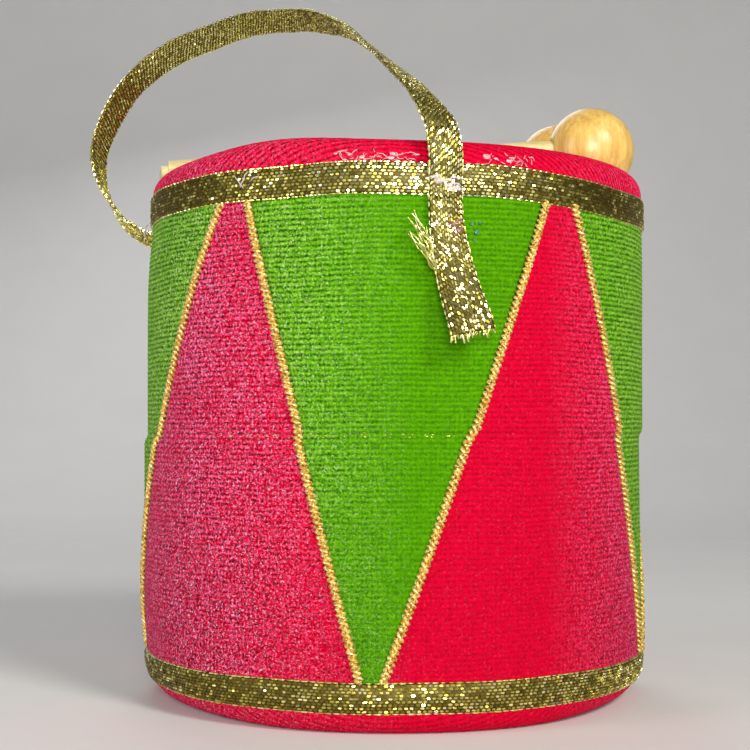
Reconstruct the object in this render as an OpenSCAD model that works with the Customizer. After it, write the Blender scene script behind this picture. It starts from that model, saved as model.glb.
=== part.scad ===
// Drum-shaped tree ornament: a foam core in two halves, covered in ribbed velvet, with gold cord
// over the seams, gold ribbon trims, a ribbon hanger and two drumsticks glued on top.
// Standing on its base at z = 0, drum axis on +Z, hanger glued at the front (-Y) and back (+Y).

/* [Drum] */
// Radius of the velvet side
drum_r = 29.7; // [28:0.1:31]
// Height over the two velvet covers
drum_h = 61; // [58:0.5:64]
// Radius of the rounded edge at the top
edge_r = 2.3; // [1.8:0.1:2.8]
// Radius of the rounded edge at the base
base_edge_r = 4.5; // [2.3:0.1:5]
// Thickness of the velvet
velvet_t = 0.8; // [0.6:0.1:1]
// Sideways offset of the lower half against the upper half
half_shift = 0.4; // [0:0.1:0.5]

/* [Panels and cords] */
// Angle that a red panel's narrow end takes up below the top trim, in degrees
red_tip_angle = 8; // [6:0.2:9]
// Angle that a green panel's narrow end takes up above the bottom trim, in degrees
green_tip_angle = 5; // [3.6:0.1:6]
// Width of the gold cord
cord_w = 1.15; // [0.8:0.05:1.2]
// Height that the cord stands above the velvet
cord_t = 0.5; // [0.4:0.05:0.6]

/* [Trims] */
// Width of the top trim
top_trim_w = 3.4; // [3:0.1:4]
// Width of the bottom trim
bottom_trim_w = 3.2; // [3:0.1:4]
// Bare velvet between a trim and the end face
trim_inset = 2.2; // [2:0.1:2.6]
// Thickness of the trim
trim_t = 0.4; // [0.3:0.05:0.5]
// Length of the lap where a trim's ends meet at the back
trim_lap = 6; // [4:1:8]

/* [Hanger] */
// Width of the hanging ribbon
ribbon_w = 3.5; // [3:0.1:4]
// Thickness of the hanging ribbon
ribbon_t = 0.4; // [0.3:0.05:0.5]
// Angle of the glued front end to the right of the front, in degrees
anchor_angle = 9.9; // [9:0.1:11]
// Length of the loose tail
tail_len = 14.2; // [12:0.2:16]
// Width of the tail at its spread cut end
tail_end_w = 4.7; // [4:0.1:5]

/* [Drumsticks] */
// Diameter of a wooden ball
ball_d = 10.8; // [9:0.1:10.8]
// Diameter of a shaft
shaft_d = 3.2; // [2.8:0.1:3.6]

/* [Hidden] */
$fn = 96;
mid_z = drum_h / 2;
side_gap = 0.02;
core_r = drum_r - velvet_t;
top_trim_z = drum_h - trim_inset - top_trim_w;
bottom_trim_z = trim_inset;
// The panels end under each trim, where the covers' skirts meet them, and clear of the base's edge
panel_top = top_trim_z + top_trim_w / 2;
panel_bottom = max(bottom_trim_z + bottom_trim_w / 2, base_edge_r);
cord_bottom = bottom_trim_z + bottom_trim_w;
trim_r = drum_r + trim_t;

// Middles of the panels' narrow ends, cut and laid by hand and so not quite evenly spaced: of the
// red ones below the top trim, and of the green ones above the bottom trim, as angles to the right
// of the front. Green panel k lies to the left of red panel k.
red_tips = [36.6, 125, 224, 324];
green_tips = [-3.8, 76.5, 173, 271];
panel_pairs = len(red_tips);

// Hanger: the glued ends, and the pivot line of the loop through both of them
pad_t = 0.4;
pad_len = 4;
pad_z = top_trim_z - 0.2;
pad_r = trim_r + pad_t;
pivot_z = 57.2;
tail_gap = 0.25;
tail_top_z = pad_z - tail_gap;
tail_stand_off = 3.2;
tail_bow = 0.6;
tail_lean = 8;
// Frayed threads: where they leave the tail's edge, the gap to it, how far up and out they reach
thread_root = 6.5;
thread_gap = 0.03;
thread_rise = 4.4;
thread_reach = 2.2;
thread_w = 1.3;
// Height of a trim's lap over the rest of it, and its place round the drum, clear of the hanger
lap_step = 0.3;
lap_place = 75;

// Loop route, front end to back end: x, y, z, and the ribbon's roll about its own run in degrees
// (0 lies flat to the front, 90 is edge on, 180 lies flat to the back)
loop_route = [
    [5.3, -30.5, 57.2, 10],
    [5.2, -30.6, 60.0, 12],
    [4.8, -30.3, 62.2, 22],
    [4.0, -29.4, 64.1, 38],
    [2.4, -26.6, 67.0, 52],
    [0.1, -21.5, 70.4, 60],
    [-2.4, -14.4, 74.3, 70],
    [-5.6, -5.5, 78.9, 84],
    [-9.5, 2.5, 82.2, 106],
    [-13.1, 8.0, 83.9, 118],
    [-19.3, 14.5, 85.2, 130],
    [-24.9, 19.5, 84.8, 141],
    [-30.8, 23.3, 83.5, 148],
    [-36.4, 26.1, 80.2, 138],
    [-39.9, 27.6, 75.8, 134],
    [-41.9, 28.5, 71.0, 122],
    [-41.8, 28.8, 67.2, 106],
    [-40.4, 29.2, 63.6, 86],
    [-37.6, 29.6, 60.0, 68],
    [-32.5, 29.6, 57.7, 54],
    [-25.0, 29.2, 57.0, 34],
    [-15.0, 29.3, 57.0, 14],
    [-5.3, 30.5, 57.2, 0]
];
rings_per_step = 3;

// Drumsticks: the balls side by side at the right, the shafts' tail ends together at the left
ball_r = ball_d / 2;
shaft_r = shaft_d / 2;
stick_seat_z = drum_h + 0.02;
ball_x = [24.8, 21.8];
ball_y = [5.8, 16.3];
tail_x = [-27.7, -29.2];
tail_y = [-0.6, 2.9];
socket_depth = 4;

// Glue spots under a ball and under a shaft's tail end, as [radius, height]
ball_glue = [2.4, 0.5];
// How far from the axis a spot of glue may lie, so that it stays on the flat of the cover
glue_limit = drum_r - edge_r - 0.7;
tail_glue = [1.5, 0.7];
tail_glue_inset = 4;
glue_gap = 0.01;

function numbered(name, count) = [for (i = [1:count]) str(name, i)];

// ---- Profiles and shells ----

// Half outline of a disc from z = 0 up, with its upper outer corner rounded
module rounded_half(r, h, corner) {
    square([r - corner, h]);
    square([r, h - corner]);
    translate([r - corner, h - corner]) circle(corner);
}

module ring(r_in, r_out, z0, z1) {
    translate([0, 0, z0]) difference() {
        cylinder(r = r_out, h = z1 - z0);
        translate([0, 0, -1]) cylinder(r = r_in, h = z1 - z0 + 2);
    }
}

// A shell round the drum whose lower half is shifted with the lower core
module split_ring(r_in, r_out, z0, z1) {
    ring(r_in, r_out, mid_z, z1);
    translate([-half_shift, 0, 0]) ring(r_in, r_out, z0, mid_z);
}

// Turns and tips its children, drawn round the seam that stands upright at the front, onto a
// seam, which is [angle at the top trim, angle at the bottom trim] to the right of the front
module on_seam(seam) {
    rise = top_trim_z - cord_bottom;
    slope = atan(drum_r * (seam[0] - seam[1]) * PI / 180 / rise);
    rotate([0, 0, (seam[0] + seam[1]) / 2])
        translate([0, 0, (top_trim_z + cord_bottom) / 2])
            rotate([0, slope, 0]) children();
}

// Everything on one side of a seam: side is 1 for the right of it and -1 for the left
module beside_seam(seam, side) {
    reach = 2 * drum_r;
    on_seam(seam)
        translate([side > 0 ? side_gap : -reach - side_gap, -reach, -drum_h])
            cube([reach, reach, 2 * drum_h]);
}

module panel(left, right) {
    intersection() {
        split_ring(core_r, drum_r, panel_bottom, panel_top);
        beside_seam(left, 1);
        beside_seam(right, -1);
    }
}

module cord_on_seam(seam) {
    intersection() {
        split_ring(drum_r, drum_r + cord_t, cord_bottom, top_trim_z);
        on_seam(seam)
            translate([-cord_w / 2, -drum_r - 2, -drum_h])
                cube([cord_w, drum_r, 2 * drum_h]);
    }
}

// Section of a trim of width w, from one height over the velvet to another, round an end of the
// drum whose edge is rounded by edge; the middle of the drum is at z = 0 and the end above it
module trim_section(low, high, w, edge) {
    intersection() {
        difference() {
            rounded_half(drum_r + high, mid_z + high, edge + high);
            rounded_half(drum_r + low, mid_z + low, edge + low);
        }
        translate([0, mid_z - trim_inset - w]) square([2 * drum_r, w]);
    }
}

module trim(w, edge) {
    lap_angle = trim_lap / trim_r * 180 / PI;
    rotate_extrude() trim_section(0, trim_t, w, edge);
    rotate([0, 0, lap_place - lap_angle / 2])
        rotate_extrude(angle = lap_angle) trim_section(trim_t / 2, trim_t + lap_step, w, edge);
}

// ---- Core and velvet ----

module core_half(edge) {
    rotate_extrude() rounded_half(core_r, mid_z - velvet_t, edge - velvet_t);
}

module cover(skirt, edge) {
    rotate_extrude() intersection() {
        difference() {
            rounded_half(drum_r, mid_z, edge);
            rounded_half(core_r, mid_z - velvet_t, edge - velvet_t);
        }
        translate([0, mid_z - skirt]) square([drum_r + 1, skirt + 1]);
    }
}

module upper_core() {
    color("white") translate([0, 0, mid_z]) core_half(edge_r);
}

module lower_core() {
    color("white") translate([-half_shift, 0, mid_z]) mirror([0, 0, 1]) core_half(base_edge_r);
}

module top_cover() {
    color("crimson") translate([0, 0, mid_z]) cover(drum_h - panel_top, edge_r);
}

module bottom_cover() {
    color("crimson") translate([-half_shift, 0, mid_z])
        mirror([0, 0, 1]) cover(panel_bottom, base_edge_r);
}

// Seams as [angle at the top trim, angle at the bottom trim]: the left and right edge of red panel k
function left_seam(k) = [red_tips[k - 1] - red_tip_angle / 2, green_tips[k - 1] + green_tip_angle / 2];

function right_seam(k) =
    let (last = k == panel_pairs, next_tip = last ? green_tips[0] + 360 : green_tips[k])
    [red_tips[k - 1] + red_tip_angle / 2, next_tip - green_tip_angle / 2];

module red_panel(k) {
    color("crimson") panel(left_seam(k), right_seam(k));
}

module green_panel(k) {
    whole_turn = [360, 360];
    color("limegreen")
        panel(k == 1 ? right_seam(panel_pairs) - whole_turn : right_seam(k - 1), left_seam(k));
}

// Odd cords run down the left of a red panel and even ones down its right
module gold_cord(k) {
    color("gold") cord_on_seam(k % 2 == 1 ? left_seam((k + 1) / 2) : right_seam(k / 2));
}

module top_trim() {
    color("darkgoldenrod") translate([0, 0, mid_z]) trim(top_trim_w, edge_r);
}

module bottom_trim() {
    color("darkgoldenrod") translate([-half_shift, 0, mid_z])
        mirror([0, 0, 1]) trim(bottom_trim_w, base_edge_r);
}

// ---- Hanger ----

// A glued end of the ribbon, flat over the trim, as wide and as high as asked
module hanger_pad(angle, z0, wide, high) {
    color("gold") rotate([0, 0, angle]) intersection() {
        ring(trim_r, pad_r, z0, z0 + high);
        translate([-wide / 2, -pad_r - 1, z0 - 1]) cube([wide, pad_r, high + 2]);
    }
}

// The front end comes straight down over the trim
module hanger_front_pad() {
    hanger_pad(anchor_angle, pad_z, ribbon_w, pad_len);
}

// The back end lies along the trim, straight across the drum from the front one
module hanger_rear_pad() {
    hanger_pad(anchor_angle + 180, pivot_z - ribbon_w / 2, pad_len, ribbon_w);
}

function unit(v) = v / norm(v);

// Point on a smooth curve through four neighbouring route points, u from 0 to 1 between b and c
function between(a, b, c, d, u) =
    (2 * b + (c - a) * u + (2 * a - 5 * b + 4 * c - d) * u * u
        + (3 * b - a - 3 * c + d) * u * u * u) / 2;

function route_at(i, u) =
    let (last = len(loop_route) - 1)
    between(
        loop_route[max(i - 1, 0)],
        loop_route[i],
        loop_route[min(i + 1, last)],
        loop_route[min(i + 2, last)],
        u
    );

loop_rings = concat(
    [for (i = [0:len(loop_route) - 2]) for (s = [0:rings_per_step - 1]) route_at(i, s / rings_per_step)],
    [loop_route[len(loop_route) - 1]]
);

function place(ring_row) = [ring_row[0], ring_row[1], ring_row[2]];

function run_at(i) =
    let (last = len(loop_rings) - 1)
    unit(place(loop_rings[min(i + 1, last)]) - place(loop_rings[max(i - 1, 0)]));

// Eight corners of the flat ribbon section at ring i, with its corners cut off
function ribbon_section(i) =
    let (
        run = run_at(i),
        flat = unit(cross([0, 1, 0], run)),
        deep = cross(run, flat),
        roll = loop_rings[i][3],
        across = cos(roll) * flat + sin(roll) * deep,
        through = cross(across, run),
        w = ribbon_w / 2,
        t = ribbon_t / 2,
        cut = ribbon_t / 4
    )
    [for (c = [
        [w, t - cut], [w - cut, t], [cut - w, t], [-w, t - cut],
        [-w, cut - t], [cut - w, -t], [w - cut, -t], [w, cut - t]
    ]) place(loop_rings[i]) + c[0] * across + c[1] * through];

module hanger_loop() {
    sides = 8;
    count = len(loop_rings);
    points = [for (i = [0:count - 1]) each ribbon_section(i)];
    walls = [for (i = [0:count - 2]) for (j = [0:sides - 1]) each [
        [i * sides + j, i * sides + (j + 1) % sides, (i + 1) * sides + (j + 1) % sides],
        [i * sides + j, (i + 1) * sides + (j + 1) % sides, (i + 1) * sides + j]
    ]];
    front_end = [[for (j = [0:sides - 1]) sides - 1 - j]];
    back_end = [[for (j = [0:sides - 1]) (count - 1) * sides + j]];
    color("gold") polyhedron(points = points, faces = concat(walls, front_end, back_end));
}

// Places its children, drawn with the tail's top edge at the origin, below the front pad
module at_tail() {
    rotate([0, 0, anchor_angle])
        translate([0, -pad_r + pad_t / 2, tail_top_z])
            rotate([0, -tail_lean, 0]) children();
}

// The tail's side view: a thin strip that curves away from the drum
module tail_profile() {
    steps = 8;
    function off(u) = -tail_stand_off * u * u * (1 + tail_bow * (1 - u));
    front = [for (s = [0:steps]) [off(s / steps) - ribbon_t / 2, -tail_len * s / steps]];
    back = [for (s = [steps:-1:0]) [off(s / steps) + ribbon_t / 2, -tail_len * s / steps]];
    polygon(concat(front, back));
}

// The thin curved strip of the tail, cut to an outline drawn as seen from the front
module cut_strip(outline) {
    deep = 2 * tail_len;
    intersection() {
        rotate([90, 0, 90]) linear_extrude(deep, center = true) tail_profile();
        rotate([90, 0, 0]) linear_extrude(deep, center = true) polygon(outline);
    }
}

module hanger_tail() {
    top = ribbon_w / 2;
    end = tail_end_w / 2;
    color("gold") at_tail() cut_strip([
        [-top, ribbon_t], [top, ribbon_t], [top, 0], [end, -tail_len - ribbon_t],
        [-end, -tail_len - ribbon_t], [-top, 0]
    ]);
}

// Threads pulled out of the tail's left edge, as one thin fan beside it
module frayed_threads() {
    widen = (tail_end_w - ribbon_w) / 2 / tail_len;
    edge = -ribbon_w / 2 - thread_root * widen - thread_gap;
    color("gold") at_tail() cut_strip([
        [edge, -thread_root], [edge, thread_rise / 2 - thread_root],
        [edge + thread_w - thread_reach, thread_rise - thread_root],
        [edge - thread_reach, thread_rise - thread_root]
    ]);
}

// ---- Drumsticks ----

function stick_angle(k) = atan2(tail_y[k] - ball_y[k], tail_x[k] - ball_x[k]);

function stick_run(k) = norm([tail_x[k] - ball_x[k], tail_y[k] - ball_y[k]]);

function stick_drop(k) = atan((ball_r - shaft_r) / stick_run(k));

// Places its children, drawn along +X from the ball's centre, along stick k
module along_stick(k) {
    translate([ball_x[k], ball_y[k], stick_seat_z + ball_r])
        rotate([0, 0, stick_angle(k)])
            rotate([0, stick_drop(k), 0]) children();
}

module shaft_at(k) {
    start = ball_r - socket_depth;
    along_stick(k) translate([start, 0, 0]) rotate([0, 90, 0])
        cylinder(d = shaft_d, h = stick_run(k) / cos(stick_drop(k)) - start);
}

module stick_shaft(number) {
    color("wheat") shaft_at(number - 1);
}

module stick_ball(number) {
    k = number - 1;
    color("goldenrod") difference() {
        translate([ball_x[k], ball_y[k], stick_seat_z + ball_r]) sphere(ball_r);
        along_stick(k) translate([ball_r - socket_depth - side_gap, 0, 0]) rotate([0, 90, 0])
            cylinder(d = shaft_d + 2 * side_gap, h = ball_d);
    }
}

// How far in from a ball's middle its glue lies, as a share of the way to the axis
function glue_share(k) = min(1, glue_limit / norm([ball_x[k], ball_y[k]]));

// Glue under both balls and both tail ends, cut to their undersides
module stick_glue() {
    color("ivory") difference() {
        for (k = [0:1]) {
            translate([ball_x[k] * glue_share(k), ball_y[k] * glue_share(k), drum_h])
                cylinder(r = ball_glue[0], h = ball_glue[1]);
            translate([tail_x[k] + tail_glue_inset, tail_y[k], drum_h])
                cylinder(r = tail_glue[0], h = tail_glue[1]);
        }
        for (k = [0:1]) {
            translate([ball_x[k], ball_y[k], stick_seat_z + ball_r]) sphere(ball_r + glue_gap);
            along_stick(k) translate([ball_r, 0, 0]) rotate([0, 90, 0])
                cylinder(d = shaft_d + 2 * glue_gap, h = 2 * drum_r);
        }
    }
}

upper_core();
lower_core();
top_cover();
bottom_cover();
for (k = [1:panel_pairs]) {
    red_panel(k);
    green_panel(k);
}
for (k = [1:2 * panel_pairs])
    gold_cord(k);
top_trim();
bottom_trim();
hanger_front_pad();
hanger_rear_pad();
hanger_loop();
hanger_tail();
frayed_threads();
for (k = [1:2]) {
    stick_shaft(k);
    stick_ball(k);
}
stick_glue();
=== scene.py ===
"""Visual model of a drum-shaped tree ornament: ribbed velvet over a foam core in two halves, twisted
gold cord on the seams, woven gold ribbon as trims and hanger, and two drumsticks glued on top.

Every piece is built in metres in the CAD frame: drum axis on +Z, base on z = 0, front towards -Y.
An angle round the drum is measured in degrees from the front, positive to the right."""

import math

import bpy
import numpy as np
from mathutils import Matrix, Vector


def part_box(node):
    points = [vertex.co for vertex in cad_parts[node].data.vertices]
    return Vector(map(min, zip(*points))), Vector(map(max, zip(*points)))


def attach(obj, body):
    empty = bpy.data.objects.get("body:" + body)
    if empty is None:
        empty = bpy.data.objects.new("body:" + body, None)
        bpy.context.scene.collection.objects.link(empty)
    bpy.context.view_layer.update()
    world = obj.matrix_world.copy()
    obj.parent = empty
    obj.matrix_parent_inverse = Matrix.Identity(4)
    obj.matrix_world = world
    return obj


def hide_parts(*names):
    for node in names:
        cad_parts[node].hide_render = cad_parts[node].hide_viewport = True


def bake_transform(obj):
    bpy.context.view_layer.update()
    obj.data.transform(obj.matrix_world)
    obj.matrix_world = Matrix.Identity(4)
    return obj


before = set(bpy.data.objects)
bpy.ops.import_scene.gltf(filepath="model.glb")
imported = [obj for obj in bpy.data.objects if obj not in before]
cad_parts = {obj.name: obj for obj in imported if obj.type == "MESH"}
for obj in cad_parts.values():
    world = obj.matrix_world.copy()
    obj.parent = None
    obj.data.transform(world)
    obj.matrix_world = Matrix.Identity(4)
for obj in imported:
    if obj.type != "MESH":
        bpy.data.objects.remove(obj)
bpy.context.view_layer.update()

MM = 0.001

# ---- Sizes: from the frame where a box says them, otherwise as in the part's source ----


def corners(node):
    """The low and the high corner of a node's box."""
    return [np.array(corner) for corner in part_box(node)]


cover_low, cover_high = corners("top_cover")
trim_low, trim_high = corners("top_trim")
base_low, base_high = corners("bottom_trim")
lower_low, lower_high = corners("bottom_cover")

DRUM_R = (cover_high[0] - cover_low[0]) / 2
DRUM_H = cover_high[2]
MID_Z = DRUM_H / 2
HALF_SHIFT = -(lower_low[0] + lower_high[0]) / 2
EDGE_R = 2.3 * MM
BASE_EDGE_R = 4.5 * MM
TRIM_R = -trim_low[0]
TRIM_LAP = 6 * MM
LAP_RISE = 0.34 * MM  # how far a trim's upper end stands out over its lower one
PANEL_TOP = cover_low[2]
PANEL_BOTTOM = lower_high[2]
CORD_TOP = trim_low[2]
CORD_BOTTOM = base_high[2]

# Middles of the panels' narrow ends round the drum, and the angle that each end takes up
RED_TIPS = [36.6, 125, 224, 324]
GREEN_TIPS = [-3.8, 76.5, 173, 271]
PAIRS = len(RED_TIPS)
RED_TIP_ANGLE = 8.0
GREEN_TIP_ANGLE = 5.0

RIBBON_W = 3.5 * MM
RIBBON_T = 0.3 * MM
ANCHOR_ANGLE = 9.9  # where the hanger's front end is glued
LAP_ANGLE = 165.0  # where a trim's ends lap

# The velvet: pitch of its ribs and of the fine upright lines of its pile, and its height over them
RIB = 0.54 * MM
WALE = 0.5 * MM
ROWS_PER_RIB = 4
RIB_RELIEF = 0.10 * MM
COVER_RIB_RELIEF = 0.09 * MM
# The painted shade between the ribs grows from the lower of these heights to the upper
RIBS_FROM, RIBS_TO = 8 * MM, 40 * MM  # heights between which the ribs come to show

# Painted sheen on the pile at the drum's left and far right, by x: from where it begins to where it is most
PAINTED_SHEEN_LEFT = (2 * MM, -22 * MM)
PAINTED_SHEEN_RIGHT = (16 * MM, 28 * MM)

# How the padded skin differs from a true cylinder
UNEVEN = 0.10 * MM  # slow swells and hollows
SWELL = 0.05 * MM  # how far it stands out between the trims
CREASE = 0.15 * MM  # how far it is drawn in along the joint of the two halves
DENT = 0.45 * MM  # how far it is pressed in at the left
DENT_ANGLE, DENT_WIDTH = -76, 32
RIM_PUFF, FRONT_PUFF = 0.32 * MM, 0.72 * MM  # how far it puffs up along the top rim, and more in front
PUFF_ANGLE, PUFF_WIDTH = -26, 19
BASE_FILL = 1.0 * MM  # how full the base's edge stands at the front
FILL_ANGLE, FILL_WIDTH = 4, 46

# The gold cord: how its two plies turn about each other. Pairs are sideways and outward.
CORD_PITCH = 1.25 * MM
PLY_OFFSET = (0.27 * MM, 0.19 * MM)
PLY_RADIUS = (0.295 * MM, 0.24 * MM)

# The woven ribbon: what share of its half width its rows of stitches take, and its edge beads
ROWS_SHARE = 0.94
PICOT_PITCH = 0.85 * MM
PICOT_LENGTH = 0.38 * MM
PICOT_RADIUS = 0.13 * MM

# The loop's route as in the part's source, here in metres: x, y, z, and the ribbon's roll in degrees
LOOP_ROUTE = [
    (0.0053, -0.0305, 0.0572, 10), (0.0052, -0.0306, 0.0600, 12), (0.0048, -0.0303, 0.0622, 22),
    (0.0040, -0.0294, 0.0641, 38), (0.0024, -0.0266, 0.0670, 52), (0.0001, -0.0215, 0.0704, 60),
    (-0.0024, -0.0144, 0.0743, 70), (-0.0056, -0.0055, 0.0789, 84), (-0.0095, 0.0025, 0.0822, 106),
    (-0.0131, 0.0080, 0.0839, 118), (-0.0193, 0.0145, 0.0852, 130), (-0.0249, 0.0195, 0.0848, 141),
    (-0.0308, 0.0233, 0.0835, 148), (-0.0364, 0.0261, 0.0802, 138), (-0.0399, 0.0276, 0.0758, 134),
    (-0.0419, 0.0285, 0.0710, 122), (-0.0418, 0.0288, 0.0672, 106), (-0.0404, 0.0292, 0.0636, 86),
    (-0.0376, 0.0296, 0.0600, 68), (-0.0325, 0.0296, 0.0577, 54), (-0.0250, 0.0292, 0.0570, 34),
    (-0.0150, 0.0293, 0.0570, 14), (-0.0053, 0.0305, 0.0572, 0),
]
# The glued ends that the loop grows out of: up over the top trim at the front, and along it behind
FRONT_ROOT = [(0.00521, -0.02985, 0.05495, 10), (0.00522, -0.0299, 0.0562, 10),
              (0.00525, -0.0303, 0.0582, 11)]
REAR_ROOT = [(-0.0105, 0.0292, 0.0571, 7), (-0.0074, 0.02942, 0.0572, 2),
             (-0.0052, 0.02986, 0.0572, -4), (-0.0033, 0.03013, 0.0572, -8)]
# Where the loop is free of its glued ends
FREE_FROM = 2  # index in LOOP_ROUTE
FREE_TO = 21

# The loose tail, from the front end down: right, out and up from its top edge, before its turn
TAIL_ROUTE = [(0, 0, 0), (0.0001, 0, -0.0025), (0.0004, 0.0003, -0.0050), (0.0008, 0.0009, -0.0076),
              (0.0013, 0.0018, -0.0102), (0.0018, 0.0026, -0.0122), (0.00215, 0.0033, -0.0140)]
TAIL_END_W = 4.6 * MM

# Drumsticks: each tail end's x and y on the top
STICK_TAILS = [(-0.0277, -0.0006), (-0.0292, 0.0029)]
SHAFT_R = 1.6 * MM

# ---- Camera, light and floor ----

scene = bpy.context.scene
scene.view_settings.view_transform = "Standard"

CAMERA_AT = (0, -0.185, 0.0305)
CAMERA_UP = math.radians(2.3)
CAMERA_LEFT = math.radians(0.75)
camera_data = bpy.data.cameras.new("camera")
camera_data.sensor_width = 36
camera_data.lens = 72.8
camera_data.clip_start = 0.01
camera = bpy.data.objects.new("camera", camera_data)
camera.location = CAMERA_AT
camera.rotation_euler = (math.pi / 2 + CAMERA_UP, 0, CAMERA_LEFT)
scene.collection.objects.link(camera)
scene.camera = camera


def area_light(name, at, aim, size, power, colour=(1, 1, 1)):
    """A round soft light at a place, turned to the point it is aimed at."""
    data = bpy.data.lights.new(name, "AREA")
    data.shape = "DISK"
    data.size = size
    data.energy = power
    data.color = colour
    obj = bpy.data.objects.new(name, data)
    obj.location = at
    obj.rotation_euler = (Vector(at) - Vector(aim)).to_track_quat("Z", "Y").to_euler()
    obj.visible_camera = False
    scene.collection.objects.link(obj)


area_light("key", (0.24, -0.34, 0.30), (0, 0, 0.03), 0.14, 1.3, (1.0, 0.97, 0.92))
area_light("fill", (-0.40, -0.20, 0.16), (0, 0, 0.03), 0.24, 0.55, (0.93, 0.96, 1.0))
area_light("front", (0.02, -0.46, 0.10), (0, 0, 0.04), 0.12, 1.25)
area_light("rim", (-0.10, 0.42, 0.34), (0, 0, 0.04), 0.30, 0.5)

world = bpy.data.worlds.new("studio")
world.use_nodes = True
sky = world.node_tree.nodes["Background"].inputs
sky["Color"].default_value = (0.82, 0.84, 0.88, 1)
sky["Strength"].default_value = 0.18
scene.world = world


# ---- Node materials ----


class Shader:
    """A material with one Principled shader, and short calls that add nodes to it."""

    def __init__(self, name, **constants):
        self.material = bpy.data.materials.new(name)
        self.material.use_nodes = True
        self.tree = self.material.node_tree
        self.out = self.tree.nodes["Principled BSDF"]
        for key, value in constants.items():
            self.out.inputs[key.replace("_", " ")].default_value = value

    def node(self, kind, links=(), **settings):
        made = self.tree.nodes.new(kind)
        for key, value in settings.items():
            setattr(made, key, value)
        for key, value in dict(links).items():
            if isinstance(value, bpy.types.NodeSocket):
                self.tree.links.new(value, made.inputs[key])
            else:
                made.inputs[key].default_value = value
        return made

    def coords(self, stretch=(1, 1, 1)):
        where = self.node("ShaderNodeTexCoord").outputs["Object"]
        return self.node("ShaderNodeMapping", {"Vector": where, "Scale": stretch}).outputs[0]

    def noise(self, size, detail=2.0, rough=0.5, stretch=(1, 1, 1)):
        """Noise whose blobs are about size metres across."""
        return self.node(
            "ShaderNodeTexNoise",
            {"Vector": self.coords(stretch), "Scale": 1 / size, "Detail": detail, "Roughness": rough},
        ).outputs["Fac"]

    def cells(self, size):
        """A random number for each cell of about size metres."""
        links = {"Vector": self.coords(), "Scale": 1 / size}
        colour = self.node("ShaderNodeTexVoronoi", links).outputs["Color"]
        return self.node("ShaderNodeSeparateColor", {"Color": colour}).outputs["Red"]

    def attribute(self, name):
        return self.node("ShaderNodeAttribute", attribute_name=name).outputs["Fac"]

    def math(self, kind, a, b=0.0):
        return self.node("ShaderNodeMath", {0: a, 1: b}, operation=kind).outputs[0]

    def plus(self, a, b):
        return self.math("ADD", a, b)

    def times(self, a, b):
        return self.math("MULTIPLY", a, b)

    def blend(self, a, share, b):
        """A mix of two values, with share of the first."""
        return self.plus(self.times(a, share), self.times(b, 1 - share))

    def spread(self, value, low, high, to_low=0.0, to_high=1.0):
        return self.node(
            "ShaderNodeMapRange",
            {"Value": value, "From Min": low, "From Max": high, "To Min": to_low, "To Max": to_high},
        ).outputs[0]

    def ramp(self, value, *stops):
        """stops are (place, (r, g, b)), from low to high."""
        made = self.node("ShaderNodeValToRGB", {"Fac": value})
        elements = made.color_ramp.elements
        while len(elements) < len(stops):
            elements.new(0.5)
        for element, (place, colour) in zip(elements, stops):
            element.position = place
            element.color = (*colour, 1)
        return made.outputs["Color"]

    def mix(self, factor, shaded, plain):
        """A colour socket with a share of a plain (r, g, b) over it."""
        links = {0: factor, 6: shaded, 7: (*plain, 1)}
        return self.node("ShaderNodeMix", links, data_type="RGBA").outputs[2]

    def bump(self, height, depth, strength):
        """Surface relief of depth metres."""
        made = self.node("ShaderNodeBump", {"Height": height, "Distance": depth, "Strength": strength})
        self.set(Normal=made.outputs["Normal"])

    def set(self, **sockets):
        for key, value in sockets.items():
            self.tree.links.new(value, self.out.inputs[key.replace("_", " ")])


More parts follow.
